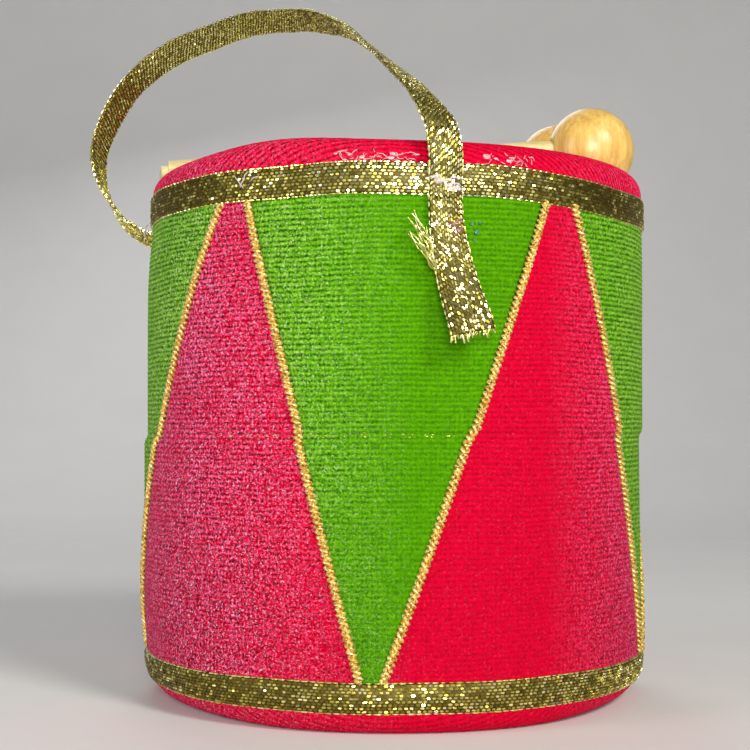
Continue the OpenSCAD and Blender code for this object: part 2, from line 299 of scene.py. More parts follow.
def velvet(name, dark, middle, bright, pale, white, painted_and_real_sheen=1.0, rib_shade=(0.16, 0.50), around=True):
    """Ribbed velour: painted shade in the grooves between the ribs, and speckled pile on the ribs in
    fine upright wales. The pile looks smooth at the front right. On the drum's left and far right,
    where light grazes it, it has painted sheen: rougher pile with pale flecks and white specks. One
    argument sets how much painted sheen there is, and scales the shader's own sheen too. Another sets
    how strongly the painted shade between the ribs shows, low down and near the top. The wales are set
    out around the drum for its side, and straight across it for a cover."""
    s = Shader(name, Sheen_Weight=0.16 * painted_and_real_sheen, Sheen_Roughness=0.3, Sheen_Tint=(*pale, 1))
    s.out.inputs["Specular IOR Level"].default_value = 0.045
    split = s.node("ShaderNodeSeparateXYZ", {0: s.coords()}).outputs
    place = split["X"]
    if around:
        place = s.times(s.math("ARCTAN2", split["X"], s.times(split["Y"], -1.0)), DRUM_R)
    jitter = s.times(s.noise(1.6 * MM, 2.0, 0.6), 5.0)
    wale = s.math("SINE", s.plus(s.times(place, 2 * math.pi / WALE), jitter))
    speck = s.spread(s.noise(0.27 * MM, 2.0, 0.75), 0.36, 0.64)
    # Painted shade in the grooves between the ribs, strongest near the top and lost in the pile low down
    rib = s.math("SUBTRACT", s.attribute("rib"), 0.3)
    pile = s.times(rib, s.spread(split["Z"], RIBS_FROM, RIBS_TO, *rib_shade))
    pile = s.plus(pile, s.spread(speck, 0.0, 1.0, 0.08, 0.50))
    pile = s.plus(pile, s.spread(wale, -1.0, 1.0, 0.0, 0.08))
    pile = s.plus(pile, s.times(s.spread(s.noise(0.6 * MM), 0.36, 0.64), 0.14))
    # Painted sheen where light grazes the pile: at the drum's left in patches, and at its far right. Where it
    # lies, the pile also gets more contrast
    patches = s.spread(s.noise(8 * MM, 3.0, 0.6), 0.3, 0.7, 0.6, 1.0)
    left = s.times(s.spread(split["X"], *PAINTED_SHEEN_LEFT), patches)
    rough = s.math("MAXIMUM", left, s.spread(split["X"], *PAINTED_SHEEN_RIGHT, 0.0, 0.8))
    rough = s.times(rough, painted_and_real_sheen)
    contrast = s.spread(rough, 0.0, 1.0, 0.5, 2.0)
    pile = s.plus(s.times(s.math("SUBTRACT", pile, 0.5), contrast), 0.5)
    colour = s.ramp(pile, (0.10, dark), (0.48, middle), (0.84, bright))
    # Painted sheen: pale pile tips where light grazes. White specks: a few everywhere as real fibre ends, and
    # many more on the left as painted sheen
    painted_sheen_tips = s.times(s.spread(s.noise(0.28 * MM, 2.0, 0.8), 0.49, 0.58), rough)
    colour = s.mix(s.times(painted_sheen_tips, s.spread(pile, 0.2, 0.7, 0.2, 0.95)), colour, pale)
    fibres_and_sheen = s.times(s.spread(s.noise(0.26 * MM, 2.0, 0.8), 0.60, 0.66),
                    s.spread(left, 0.0, 1.0, 0.03, 0.95 * painted_and_real_sheen))
    colour = s.mix(fibres_and_sheen, colour, white)
    s.set(Base_Color=colour, Roughness=s.spread(speck, 0.0, 1.0, 0.75, 0.95))
    s.bump(s.plus(speck, s.times(wale, 0.2)), 0.05 * MM, 0.7)
    return s.material


def metal_thread(name):
    """Flattened metallic yarn: each stitch has its own shade and polish from its glint number, which holds
    random variation and painted reflection.
    """
    s = Shader(name, Metallic=1.0)
    glint = s.blend(s.attribute("glint"), 0.75, s.noise(0.12 * MM, 2.0))
    colour = s.ramp(
        glint, (0.10, (0.17, 0.13, 0.02)), (0.30, (0.50, 0.43, 0.08)),
        (0.60, (0.90, 0.82, 0.26)), (0.90, (1.0, 0.96, 0.56)),
    )
    s.set(Base_Color=colour, Roughness=s.spread(glint, 0.0, 1.0, 0.36, 0.2))
    s.bump(s.noise(0.10 * MM, 2.0), 0.02 * MM, 0.5)
    return s.material


def ribbon_ground(name):
    """The dark gold warp that shows between the bright stitches."""
    s = Shader(name, Metallic=0.85)
    tone = s.noise(0.25 * MM, 3.0, 0.6)
    s.set(
        Base_Color=s.ramp(tone, (0.3, (0.045, 0.034, 0.006)), (0.7, (0.17, 0.13, 0.022))),
        Roughness=s.spread(tone, 0.2, 0.8, 0.40, 0.60),
    )
    s.bump(s.noise(0.15 * MM, 2.0), 0.03 * MM, 0.6)
    return s.material


def cord_yarn(name):
    """Glittery two-ply cord: pale gold flecks over a warm yellow core."""
    s = Shader(name, Metallic=0.45)
    fleck = s.blend(s.cells(0.17 * MM), 0.7, s.noise(0.3 * MM, 2.0))
    colour = s.ramp(
        fleck, (0.16, (0.30, 0.13, 0.012)), (0.40, (0.74, 0.42, 0.05)),
        (0.62, (0.94, 0.72, 0.19)), (0.84, (1.0, 0.95, 0.52)),
    )
    s.set(Base_Color=colour, Roughness=s.spread(fleck, 0.0, 1.0, 0.5, 0.28))
    s.bump(s.cells(0.14 * MM), 0.05 * MM, 0.7)
    return s.material


def foam(name):
    """Moulded polystyrene: packed white beads."""
    s = Shader(name)
    links = {"Vector": s.coords(), "Scale": 1 / (2.2 * MM)}
    edge = s.node("ShaderNodeTexVoronoi", links, feature="DISTANCE_TO_EDGE").outputs["Distance"]
    bead = s.spread(edge, 0.0, 0.12)
    s.set(Base_Color=s.ramp(bead, (0.0, (0.70, 0.69, 0.66)), (1.0, (0.93, 0.93, 0.91))),
          Roughness=s.spread(bead, 0, 1, 0.75, 0.55))
    s.bump(bead, 0.15 * MM, 0.8)
    return s.material


def wood(name, dark, light, pale, lacquer, along):
    """Turned wood, bare or lacquered, with its grain along x or z."""
    s = Shader(name, Coat_Weight=lacquer, Coat_Roughness=0.36, Coat_IOR=1.5)

    def grain_noise(size, detail, rough, share):
        stretch = (share, 1, 1) if along == "x" else (1, 1, share)
        return s.noise(size, detail, rough, stretch)

    warp = grain_noise(3.0 * MM, 3.0, 0.55, 0.25)
    streak = grain_noise(0.55 * MM, 4.0, 0.65, 0.07)
    pores = grain_noise(0.16 * MM, 2.0, 0.6, 0.10)
    grain = s.blend(streak, 0.6, warp)
    colour = s.ramp(grain, (0.34, dark), (0.5, light), (0.66, pale))
    colour = s.mix(s.spread(pores, 0.60, 0.74, 0.0, 0.5), colour, dark)
    low, high = (0.44, 0.34) if lacquer else (0.62, 0.48)
    s.set(Base_Color=colour, Roughness=s.spread(grain, 0.3, 0.7, low, high))
    s.bump(s.plus(streak, pores), 0.03 * MM, 0.15 if lacquer else 0.5)
    return s.material


def hot_glue(name, colour):
    """Dried hot glue: milky and glossy."""
    s = Shader(name, Coat_Weight=0.6, Coat_Roughness=0.12, Transmission_Weight=0.25, IOR=1.47)
    cloud = s.noise(0.5 * MM, 3.0, 0.6)
    thinner = tuple(0.72 * c for c in colour)
    s.set(Base_Color=s.ramp(cloud, (0.3, thinner), (0.7, colour)),
          Roughness=s.spread(cloud, 0.3, 0.7, 0.2, 0.42))
    s.bump(cloud, 0.05 * MM, 0.5)
    return s.material


RED_SHADES = [(0.12, 0.0, 0.005), (0.56, 0.0, 0.022), (0.77, 0.001, 0.044), (0.90, 0.20, 0.46),
              (1.0, 0.68, 0.86)]
RED = velvet("red_velvet", *RED_SHADES)
# The cover gets less painted sheen, and stronger painted shade between its ribs
COVER_RED = velvet("cover_velvet", *RED_SHADES, painted_and_real_sheen=0.45, rib_shade=(0.4, 1.1), around=False)
GREEN = velvet("green_velvet", (0.010, 0.055, 0.0), (0.062, 0.25, 0.0), (0.14, 0.42, 0.002),
               (0.46, 0.70, 0.13), (0.88, 1.0, 0.55))
CORD = cord_yarn("gold_cord")
STITCH = metal_thread("gold_stitch")
GROUND = ribbon_ground("gold_ground")
FOAM = foam("foam_core")
PALE_WOOD = wood("pale_wood", (0.50, 0.36, 0.12), (0.78, 0.66, 0.30), (0.88, 0.80, 0.48), 0.0, "x")
LACQUERED = wood("lacquered_wood", (0.56, 0.28, 0.05), (0.80, 0.50, 0.11), (0.91, 0.68, 0.21), 0.5, "z")
GLUE = hot_glue("clear_glue", (0.88, 0.74, 0.74))
PINK_GLUE = hot_glue("stained_glue", (0.95, 0.56, 0.60))
GREEN_GLUE = hot_glue("tinted_glue", (0.05, 0.34, 0.14))
BROWNED_GLUE = hot_glue("browned_glue", (0.24, 0.10, 0.04))

# ---- Mesh helpers ----


def make(name, points, faces, body, materials, smooth=True, numbers=None, replaces=()):
    """A piece from points and faces in the CAD frame. materials is one, or a list with an index for
    each face as (list, indices). numbers are extra values for each point, by name."""
    mesh = bpy.data.meshes.new(name)
    mesh.from_pydata(np.asarray(points).tolist(), [], [list(f) for f in faces])
    materials, choice = materials if isinstance(materials, tuple) else ([materials], 0)
    for material in materials:
        mesh.materials.append(material)
    for key, value, kind in (("material_index", choice, np.int32), ("use_smooth", smooth, bool)):
        mesh.polygons.foreach_set(key, np.broadcast_to(value, len(mesh.polygons)).astype(kind))
    for key, values in (numbers or {}).items():
        layer = mesh.attributes.new(key, "FLOAT", "POINT")
        layer.data.foreach_set("value", np.asarray(values, dtype=np.float32).ravel())
    mesh.validate()
    mesh.update()
    obj = bpy.data.objects.new(name, mesh)
    scene.collection.objects.link(obj)
    if replaces:
        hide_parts(*replaces)
    if body:
        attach(obj, body)
    return obj


def grid_faces(rows, cols, around=False, flip=False):
    """Quads of a grid of rows by cols points, closed across its columns if around is set."""
    r, c = np.meshgrid(np.arange(rows - 1), np.arange(cols if around else cols - 1), indexing="ij")
    after = (c + 1) % cols
    quads = np.stack([r * cols + c, r * cols + after, (r + 1) * cols + after, (r + 1) * cols + c], -1)
    quads = quads.reshape(-1, 4)
    return quads[:, ::-1] if flip else quads


def circle(count):
    """Angles once round, in radians."""
    return np.linspace(0, 2 * np.pi, count, endpoint=False)


def tube_faces(rows, cols, flip=False):
    """Faces of a tube of rows rings of cols points each, with a cap on each end."""
    last = (rows - 1) * cols
    caps = [tuple(range(cols))[::-1], tuple(range(last, last + cols))]
    walls = [tuple(quad) for quad in grid_faces(rows, cols, around=True, flip=flip)]
    return walls + [cap[::-1] if flip else cap for cap in caps]


def smooth_step(x):
    x = np.clip(x, 0, 1)
    return x * x * (3 - 2 * x)


def waves(seed, size, *where):
    """A smooth random field from -1 to 1 with features of about size, summed from six plane waves."""
    rng = np.random.default_rng(seed)
    total = 0
    for _ in range(6):
        way = rng.normal(size=len(where))
        way /= np.linalg.norm(way)
        total = total + np.sin(
            sum(w * x for w, x in zip(way, where)) * (2 * np.pi / size) * rng.uniform(0.6, 1.5)
            + rng.uniform(0, 6.3)
        )
    return total / 3.5


# ---- The drum's skin ----

CORE = ["upper_core", "lower_core"]


def near(angle, middle, width, power=2):
    """1 at a middle angle, falling smoothly to 0 about a width away; higher powers fall later."""
    return np.exp(-((((angle - middle + 180) % 360 - 180) / width) ** power))


def glow(angle, middle, width, low, high):
    """From low to high, near a middle angle."""
    return low + (high - low) * near(angle, middle, width)


def unevenness(x, y, z):
    """How far the padded skin stands in or out of a true cylinder."""
    return UNEVEN * waves(3, 26 * MM, x, y, z)


def slump(angle, z):
    """How far the skin is pressed in at the left, where the foam's edges have given way."""
    ends = smooth_step((15 * MM - z) / (12 * MM)) + smooth_step((z - 47 * MM) / (10 * MM))
    return DENT * near(angle, DENT_ANGLE, DENT_WIDTH) * ends


def front_fill(angle):
    """From 0 to 1, how full the base's edge stands, which it does at the front."""
    return near(angle, FILL_ANGLE, FILL_WIDTH, 4)


def shift_at(z):
    """Sideways offset of the lower half, eased over the joint."""
    return -HALF_SHIFT * smooth_step((MID_Z + 1.0 * MM - z) / (2.0 * MM))


def skin(angle, z, out):
    """Points at these angles and heights, out from the drum's side, which swells between the trims
    and is drawn in along the joint of the two halves."""
    a = np.radians(angle)
    x, y = np.sin(a), -np.cos(a)
    swell = smooth_step((z - CORD_BOTTOM) / (4 * MM)) * smooth_step((CORD_TOP - z) / (4 * MM))
    crease = np.exp(-(((z - MID_Z) / (0.5 * MM)) ** 2))
    r = DRUM_R + out + unevenness(DRUM_R * x, DRUM_R * y, z) + SWELL * swell - CREASE * crease
    r = r - slump(angle, z)
    return np.stack([r * x + shift_at(z), r * y, z + 0 * x], -1)


def seam(top_angle, bottom_angle):
    """A seam's angle as a function of height, as the CAD's flat cut leaves it on the cylinder."""
    rise = CORD_TOP - CORD_BOTTOM
    lean = DRUM_R * math.radians(top_angle - bottom_angle) / rise
    centre = (CORD_TOP + CORD_BOTTOM) / 2
    return lambda z: (top_angle + bottom_angle) / 2 + np.degrees(
        np.arcsin((z - centre) * lean / DRUM_R)
    )


NEXT_GREEN_TIPS = GREEN_TIPS[1:] + [GREEN_TIPS[0] + 360]
LEFT_SEAMS = [seam(red - RED_TIP_ANGLE / 2, green + GREEN_TIP_ANGLE / 2)
              for red, green in zip(RED_TIPS, GREEN_TIPS)]
RIGHT_SEAMS = [seam(red + RED_TIP_ANGLE / 2, green - GREEN_TIP_ANGLE / 2)
               for red, green in zip(RED_TIPS, NEXT_GREEN_TIPS)]


def ribbing(seed, relief, x, y):
    """For a cloth's grid of points, its ribs' relief, and how far up a rib each point is, 0 to 1."""
    rib = 0.5 + 0.5 * np.cos(2 * np.pi * np.arange(len(y)) / ROWS_PER_RIB)[:, None] + 0 * x
    fuzz = waves(seed, 0.9 * MM, x, y)
    return relief * (rib - 0.6) * (0.85 + 0.3 * fuzz), np.clip(rib + 0.25 * fuzz, 0, 1)


def panel(name, left, right, material, seed):
    """One velvet panel between two seams, its edges tucked in under the cords and trims."""
    rows = int((PANEL_TOP - PANEL_BOTTOM) / (RIB / ROWS_PER_RIB))
    cols = 52
    z = np.linspace(PANEL_BOTTOM, PANEL_TOP, rows)[:, None]
    gap = math.degrees(0.03 * MM / DRUM_R)
    a, b = left(z) + gap, right(z) - gap
    angle = a + (b - a) * np.linspace(0, 1, cols)[None, :]
    along = DRUM_R * np.radians(angle)
    inside = DRUM_R * np.radians(np.minimum(angle - a, b - angle))
    ends = smooth_step((z - PANEL_BOTTOM) / (1 * MM)) * smooth_step((PANEL_TOP - z) / (1 * MM))
    wander = 0.10 * MM * waves(seed, 14 * MM, along, z) * ends
    relief, rib = ribbing(seed + 1, RIB_RELIEF, along, z)
    points = skin(angle, z + wander, relief - 0.12 * MM * np.exp(-inside / (0.4 * MM)))
    for edge in (points[:, 0], points[:, -1], points[0], points[-1]):
        edge[:, :2] *= 1 - 0.35 * MM / DRUM_R
    cloth = make(f"{name}_velvet", points.reshape(-1, 3), grid_faces(rows, cols), "drum", material,
                 numbers={"rib": rib}, replaces=[name])
    widths = np.radians(right(z) - left(z)) * DRUM_R


for k in range(PAIRS):
    lap = 360 if k == 0 else 0
    panel(f"red_panel_{k + 1}", LEFT_SEAMS[k], RIGHT_SEAMS[k], RED, 10 * k)
    panel(f"green_panel_{k + 1}", lambda z: RIGHT_SEAMS[k - 1](z) - lap, LEFT_SEAMS[k],
          GREEN, 10 * k + 5)


def rim_puff(angle):
    """How far the velvet puffs up along the top rim, most of all at the front left."""
    return RIM_PUFF + FRONT_PUFF * near(angle, PUFF_ANGLE, PUFF_WIDTH)


def cover(name, top, seed):
    """A round of velvet pulled over an end of the drum, its ribs running left to right."""
    edge = EDGE_R if top else BASE_EDGE_R
    flat_r = DRUM_R - edge
    arc = edge * math.pi / 2
    skirt = (DRUM_H - PANEL_TOP if top else PANEL_BOTTOM) - edge
    reach = flat_r + arc + skirt
    rows = int(2 * reach / (RIB / ROWS_PER_RIB))
    cols = 120
    v = np.linspace(-reach, reach, rows)[:, None] * 0.99999
    u = np.sqrt(reach**2 - v**2) * np.linspace(-1, 1, cols)[None, :]
    rho = np.hypot(u, v)
    bend = np.clip((rho - flat_r) / edge, 0, math.pi / 2)
    drop = np.maximum(rho - flat_r - arc, 0)
    out, rib = ribbing(seed, COVER_RIB_RELIEF, u, v)
    sag = 0.16 * MM * waves(seed + 1, 17 * MM, u, v)
    out = out + sag * smooth_step((flat_r - rho) / (4 * MM))
    angle = np.degrees(np.arctan2(u, -v))
    if top:
        out = out - slump(angle, DRUM_H) * np.sin(bend)
        out = out + rim_puff(angle) * np.cos(bend) * smooth_step((rho - flat_r + 6 * MM) / (5 * MM))
    else:
        out = out - slump(angle, edge * (1 - np.cos(bend))) * np.sin(bend)
        out = out + BASE_FILL * front_fill(angle) * np.sin(2 * bend) ** 2
    r = np.minimum(rho, flat_r) + (edge + out) * np.sin(bend)
    z = DRUM_H - edge - drop + (edge + out) * np.cos(bend)
    way = np.where(rho > 0, rho, 1)
    x, y = r * u / way, r * v / way
    if not top:
        x, z = x - HALF_SHIFT, DRUM_H - z
        z = np.maximum(z, 0.02 * MM)
    points = np.stack([x, y, z], -1).reshape(-1, 3)
    cloth = make(f"{name}_velvet", points, grid_faces(rows, cols, flip=not top), "drum",
                 COVER_RED, numbers={"rib": rib}, replaces=[name])


cover("top_cover", True, 201)
cover("bottom_cover", False, 211)

for node in CORE:
    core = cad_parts[node]
    core.data.materials.clear()
    core.data.materials.append(FOAM)


# ---- Gold cord on the seams ----


def sweep(centres, side, up, radius_side, radius_up, sides):
    """Closed tube through centres, capped at its ends."""
    turn = circle(sides)[None, :, None]
    ring = (side[:, None, :] * np.cos(turn) * radius_side[:, None, None]
            + up[:, None, :] * np.sin(turn) * radius_up[:, None, None])
    return (centres[:, None, :] + ring).reshape(-1, 3), tube_faces(len(centres), sides)


def unit(v):
    return v / np.maximum(np.linalg.norm(v, axis=-1, keepdims=True), 1e-12)


def join(parts):
    """Several (points, faces) as one."""
    points, faces, base = [], [], 0
    for p, f in parts:
        points.append(p)
        faces.extend(tuple(int(i) + base for i in face) for face in f)
        base += len(p)
    return np.concatenate(points), faces


def seam_cord(name, line, seed):
    """Two plies twisted round each other, lying in the groove between two panels."""
    rng = np.random.default_rng(seed)
    tuck = 0.7 * MM
    count = 560
    z = np.linspace(CORD_BOTTOM - tuck, CORD_TOP + tuck, count)
    under = np.maximum(CORD_BOTTOM - z, z - CORD_TOP) + 0.35 * MM
    sink = smooth_step(under / (tuck + 0.2 * MM))
    middle = skin(line(z), z, 0.10 * MM - 0.38 * MM * sink)
    run = unit(np.gradient(middle, axis=0))
    up = middle * np.array([1, 1, 0])
    up = unit(up - run * (up * run).sum(1, keepdims=True))
    side = np.cross(run, up)
    length = np.concatenate([[0], np.cumsum(np.linalg.norm(np.diff(middle, axis=0), axis=1))])
    twist = 2 * np.pi * length / CORD_PITCH + rng.uniform(0, 6.3) + 0.5 * waves(seed, 9 * MM, length)
    shrink = 1 - 0.5 * sink
    plies = []
    for ply in (0, math.pi):
        turned = twist + ply
        centres = (middle + side * (PLY_OFFSET[0] * np.cos(turned) * shrink)[:, None]
                   + up * (PLY_OFFSET[1] * np.sin(turned) * shrink)[:, None])
        size = (1 + 0.10 * rng.standard_normal(count)) * shrink
        plies.append(sweep(centres, side, up, PLY_RADIUS[0] * size, PLY_RADIUS[1] * size, 6))
    points, faces = join(plies)
    make(f"{name}_plies", points, faces, "drum", CORD, replaces=[name])


for k in range(PAIRS):
    seam_cord(f"gold_cord_{2 * k + 1}", LEFT_SEAMS[k], 300 + 2 * k)
    seam_cord(f"gold_cord_{2 * k + 2}", RIGHT_SEAMS[k], 301 + 2 * k)


# ---- Woven metallic ribbon: the trims, the hanger and its tail ----


class Path:
    """A ribbon's middle line with its frame: P point, T along, W across and N out of its face, and
    half, its half width, all looked up by distance s along it. bow is how far its middle stands out
    of its face beyond its edges."""

    def __init__(self, points, across, widths, bow=0.0):
        self.P = np.asarray(points, dtype=float)
        steps = np.linalg.norm(np.diff(self.P, axis=0), axis=1)
        self.s = np.concatenate([[0], np.cumsum(steps)])
        self.T = unit(np.gradient(self.P, self.s, axis=0))
        across = np.asarray(across, dtype=float)
        self.W = unit(across - self.T * (across * self.T).sum(1, keepdims=True))
        self.N = np.cross(self.W, self.T)
        self.half = np.broadcast_to(np.asarray(widths, dtype=float) / 2, self.s.shape)
        self.bow = np.broadcast_to(np.asarray(bow, dtype=float), self.s.shape)
        self.length = self.s[-1]

    def at(self, s, share, height):
        """Points at distance s, share of the half width across, and height out of the face."""
        look = lambda field: np.stack([np.interp(s, self.s, field[:, i]) for i in range(3)], -1)
        half, bow = np.interp(s, self.s, self.half), np.interp(s, self.s, self.bow)
        return look(self.P) + unit(look(self.W)) * (share * half)[..., None] + unit(
            look(self.N)
        ) * (height + bow * (1 - share**2))[..., None]


def constant(value):
    return lambda s: value + 0 * s


def weave(path, start, end, seed, rows, pitch, faces_up, loose, shine, lean=constant(0.0)):
    """The stretch of a woven ribbon between two distances along its path: a thin ground, rows of flat
    metallic stitches on its faces and small picots on its edges. The stitches are laid out over the
    whole path and kept where their middles lie in the stretch, so that stretches with the same seed
    run on into each other. pitch is how far apart the stitches of a row are. lean is their slant in
    degrees and loose how ruffled they are. The last argument is how many stitches and picots are
    painted bright, a painted reflection of the lights. All of these are by distance."""
    rng = np.random.default_rng(seed)
    count = max(4, int((end - start) / (0.35 * MM)))
    s = np.linspace(start, end, count)
    shares = np.array([-1, -0.9, 0, 0.9, 1, 0.9, 0, -0.9])
    heights = np.array([0, 1, 1, 1, 0, -1, -1, -1]) * RIBBON_T / 2
    ring = path.at(s[:, None] + 0 * shares, shares[None, :] + 0 * s[:, None],
                   heights[None, :] + 0 * s[:, None])
    ground = tube_faces(count, len(shares))
    parts, glints = [(ring.reshape(-1, 3), ground)], [np.zeros(ring.size // 3)]

    # A stitch's outline, along and across, in shares of its half length and half width
    tile = np.array([(-1, 0), (-0.55, 1), (0.55, 1), (1, 0), (0.55, -1), (-0.55, -1)])
    sides = len(tile)
    row_w = 2 * ROWS_SHARE / rows
    for up in faces_up:
        j, i = np.meshgrid(np.arange(rows), np.arange(int(path.length / pitch) + 1), indexing="ij")
        j, i = j.ravel(), i.ravel()
        n = len(i)
        offset = (0.38 * np.arange(rows) + rng.uniform(-0.14, 0.14, rows))[j] % 1.0
        middle = (i + offset) * pitch + rng.normal(0, 0.06 * pitch, n)
        ruffle = loose(middle)
        half_w = np.interp(middle, path.s, path.half)
        long = 0.50 * pitch * rng.uniform(0.75, 1.1, n)
        wide = row_w * half_w * 0.5 * rng.uniform(0.62, 0.96, n)
        slant = np.radians(lean(middle) + rng.normal(0, 1, n) * (5 + 22 * ruffle))
        tip = rng.normal(0, 1, (n, 2)) * np.radians([[7, 10]]) * (1 + ruffle)[:, None]
        high = MM * rng.uniform(0.05, 0.10, n) * (1 + ruffle * rng.uniform(0, 1.2, n))
        # A stitch's tone is random, with more bright ones where the painted reflection is strong. On the
        # second face, the hanger's inner side, stitches are a little darker: painted shade
        shade = rng.beta(1.2, 0.95, n) ** (1 / shine(middle)) * (1 if up == faces_up[0] else 0.85)
        keep = (middle >= start) & (middle < end)
        centre = -ROWS_SHARE + row_w * (j + 0.5)
        layers = []
        for size, floor_level in ((1.0, -0.03 * MM), (0.82, None)):
            x = tile[None, :, 0] * long[:, None] * size
            y = tile[None, :, 1] * wide[:, None] * size
            ds = x * np.cos(slant)[:, None] - y * np.sin(slant)[:, None]
            dw = x * np.sin(slant)[:, None] + y * np.cos(slant)[:, None]
            rise = np.full(x.shape, floor_level) if floor_level else np.maximum(
                high[:, None] + x * np.tan(tip[:, :1]) + y * np.tan(tip[:, 1:]), 0.01 * MM
            )
            share = np.clip(centre[:, None] + dw / half_w[:, None], -1.0, 1.0)
            where = np.clip(middle[:, None] + ds, 0, path.length)
            layers.append(path.at(where, share, up * (RIBBON_T / 2 + rise))[keep])
        this, after = np.arange(sides), (np.arange(sides) + 1) % sides
        walls = np.stack([this, after, sides + after, sides + this], -1)
        firsts = 2 * sides * np.arange(keep.sum())[:, None]
        made = []
        for face in (*walls, sides + this, this[::-1]):
            made.extend(map(tuple, firsts + (face[::-1] if up > 0 else face)))
        parts.append((np.concatenate(layers, 1).reshape(-1, 3), made))
        glints.append(np.repeat(shade[keep], 2 * sides))

    # Picots: a bead of thread on each edge where the weft turns back
    turn = circle(6)
    span = np.linspace(-1, 1, 5)
    body = np.sqrt(np.maximum(1 - span**2, 0.02))
    for edge in (-1, 1):
        spots = np.arange(0.4 * MM, path.length - 0.3 * MM, PICOT_PITCH)
        spots = spots + rng.normal(0, 0.07 * MM, len(spots))
        sizes, tones = rng.uniform(0.75, 1.3, len(spots)), rng.uniform(0.3, 1, len(spots))
        for spot, grow, tone in zip(spots, sizes, tones):
            if not start <= spot < end:
                continue
            fat = PICOT_RADIUS * grow
            half_w = float(np.interp(spot, path.s, path.half))
            where = np.clip(spot + span * PICOT_LENGTH * grow, 0, path.length)[:, None] + 0 * turn
            share = edge + body[:, None] * fat * np.cos(turn)[None, :] / half_w
            points = path.at(where, share, body[:, None] * fat * 1.2 * np.sin(turn)[None, :])
            parts.append((points.reshape(-1, 3), tube_faces(len(span), len(turn), flip=True)))
            # A picot's tone is random, lifted by the painted reflection where that is strong
            glints.append(np.full(points.size // 3, tone * max(0.9, float(shine(spot)))))

    points, faces = join(parts)
    stitched = np.arange(len(faces)) >= len(ground)
    return points, faces, stitched, np.concatenate(glints)


def ribbon_piece(name, path, start, end, body, replaces, **settings):
    """A stretch of woven ribbon as a piece of its own; settings are the weave's."""
    points, faces, stitched, glint = weave(path, start, end, **settings)
    return make(name, points, faces, body, ([GROUND, STITCH], stitched.astype(int)),
                smooth=~stitched, numbers={"glint": glint}, replaces=replaces)


def trim(name, low, high, offset, seed, lean, droop, shine):
    """A ribbon once round the drum, its ends lapped at the back. By angle: lean is how far its lower
    edge lies in from its upper one, droop how far it hangs below its place, and the last argument how
    many of its stitches are painted bright, a painted reflection of the lights."""
    lap = math.degrees(TRIM_LAP / TRIM_R)
    angle = np.linspace(LAP_ANGLE - lap / 2 - 360, LAP_ANGLE + lap / 2, 420)
    over = smooth_step((angle - (LAP_ANGLE - lap)) / lap)
    a = np.radians(angle)
    lean = lean(angle)
    r = DRUM_R + 0.07 * MM + LAP_RISE * over - lean / 2 - slump(angle, (low + high) / 2)
    r = r + unevenness(DRUM_R * np.sin(a), -DRUM_R * np.cos(a), (low + high) / 2)
    z = (low + high) / 2 + 0.07 * MM * waves(seed, 20 * MM, a * DRUM_R) - droop(angle)
    points = np.stack([r * np.sin(a) + offset, -r * np.cos(a), z], -1)
    inward = lean / (high - low)
    across = np.stack([np.sin(a) * inward, -np.cos(a) * inward, 1 + 0 * a], -1)
    path = Path(points, across, high - low - 0.1 * MM, -0.4 * lean)
    # W x T points at the drum here, so the outer face is the other one
    ribbon_piece(f"{name}_ribbon", path, 0, path.length, "drum", [name], seed=seed, rows=9,
                 pitch=0.56 * MM, faces_up=(-1,), loose=constant(0.0),
                 shine=lambda s: shine(np.interp(s, path.s, angle)))


base_lean = BASE_EDGE_R - math.sqrt(BASE_EDGE_R**2 - (BASE_EDGE_R - base_low[2]) ** 2)
# Painted reflection of the lights: the top trim's stitches bright near the front and dark at its sides, the
# bottom trim's dim, a little brighter to the front right
trim("top_trim", trim_low[2], trim_high[2], 0.0, 401, lean=constant(0.0),
     droop=lambda angle: glow(angle, 62, 30, 0.0, 0.9 * MM),
     shine=lambda angle: glow(angle, 8, 23, 0.08, 1.6))
trim("bottom_trim", base_low[2], base_high[2], -HALF_SHIFT, 402,
     lean=lambda angle: base_lean * (1 - front_fill(angle)), droop=constant(0.0),
     shine=lambda angle: glow(angle, 34, 36, 0.14, 0.52))


def curve_through(route, per_step=16):
    """Catmull-Rom curve through the route's rows, as in the part's source."""
    rows = np.array(route, dtype=float)
    last = len(rows) - 1
    out = []
    for i in range(last):
        a, b, c, d = rows[max(i - 1, 0)], rows[i], rows[i + 1], rows[min(i + 2, last)]
        for u in np.arange(per_step) / per_step:
            out.append((2 * b + (c - a) * u + (2 * a - 5 * b + 4 * c - d) * u**2
                        + (3 * b - a - 3 * c + d) * u**3) / 2)
    out.append(rows[-1])
    return np.array(out)


def rolled(rows):
    """Direction across the ribbon for rows of x, y, z and roll."""
    run = unit(np.gradient(rows[:, :3], axis=0))
    flat = unit(np.cross([0, 1, 0], run))
    deep = np.cross(run, flat)
    roll = np.radians(rows[:, 3:])
    return np.cos(roll) * flat + np.sin(roll) * deep


